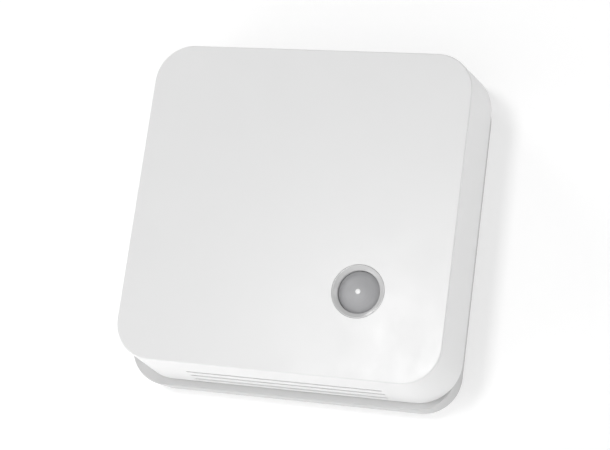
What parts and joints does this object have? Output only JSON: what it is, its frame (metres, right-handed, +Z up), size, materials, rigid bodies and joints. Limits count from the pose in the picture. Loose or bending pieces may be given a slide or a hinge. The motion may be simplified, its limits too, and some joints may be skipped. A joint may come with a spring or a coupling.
{
  "type": "wireless room sensor",
  "caption": "Square wall-mounted wireless room sensor: drafted white cover with a round motion lens and vent slots, on a light grey plate that screws to the wall.",
  "frame": {"origin": "on the wall plate's back face, where the cover's middle axis, which is also the screw circle's, meets the wall", "axes": "+Y into the wall, -Y towards the room (the front face looks along -Y), +Z up, +X right as seen from the room"},
  "size_m": [0.0873, 0.028, 0.0874],
  "materials": {
    "cover_plastic": "fine satin moulding",
    "plate_plastic": "satin moulding, light grey",
    "bezel_plastic": "satin",
    "gasket_foam": "closed-cell foam",
    "lens_plastic": "translucent grey, faceted behind",
    "pip_plastic": "satin",
    "black_plastic": "satin",
    "can_metal": "nickel plate",
    "filter_glass": "dark coated silicon",
    "board_green": "solder mask",
    "board_blue": "solder mask",
    "screw_steel": "zinc plate",
    "shield_metal": "tin plate, drawn",
    "trace_copper": "tinned copper edge",
    "membrane": "porous white film",
    "chip_black": "mould compound",
    "led_resin": "clear yellowish resin",
    "cell_wrap": "shrink wrap",
    "cap_steel": "nickel plate",
    "contact_nickel": "nickel plate",
    "sleeve_plastic": "shrink sleeve",
    "button_plastic": "satin",
    "pin_gold": "gold flash"
  },
  "bodies": {
    "wall_plate": {"wall_plate": "plate_plastic"},
    "sensor_unit": {"front_cover": "cover_plastic", "lens_bezel": "bezel_plastic", "lens_gasket": "gasket_foam", "pir_lens": "lens_plastic", "lens_centre_pip": "pip_plastic", "lens_holder": "black_plastic", "pir_sensor": "can_metal", "pir_filter": "filter_glass", "main_pcb": "board_green", "pcb_screws": "screw_steel", "radio_board": "board_blue", "radio_shield": "shield_metal", "antenna": "trace_copper", "co2_sensor": "can_metal", "co2_membrane": "membrane", "humidity_sensor": "chip_black", "microcontroller": "chip_black", "quartz_crystal": "can_metal", "status_led": "led_resin", "battery_holder": "black_plastic", "battery_upper": "cell_wrap", "battery_lower": "cell_wrap", "cell_caps": "cap_steel", "contact_springs": "contact_nickel", "contact_plates": "contact_nickel", "buffer_capacitor": "sleeve_plastic", "switch_body": "black_plastic", "service_header": "black_plastic", "header_pins": "pin_gold"},
    "test_button": {"button_plunger": "button_plastic"}
  },
  "joints": [
    {"name": "unit_pull", "type": "slide", "parent": "wall_plate", "child": "sensor_unit", "axis": [0, -1, 0], "range_m": [0, 0.045]},
    {"name": "button_press", "type": "slide", "parent": "sensor_unit", "child": "test_button", "axis": [0, -1, 0], "range_m": [0, 0.0003], "stiffness_N_per_m": 800}
  ]
}
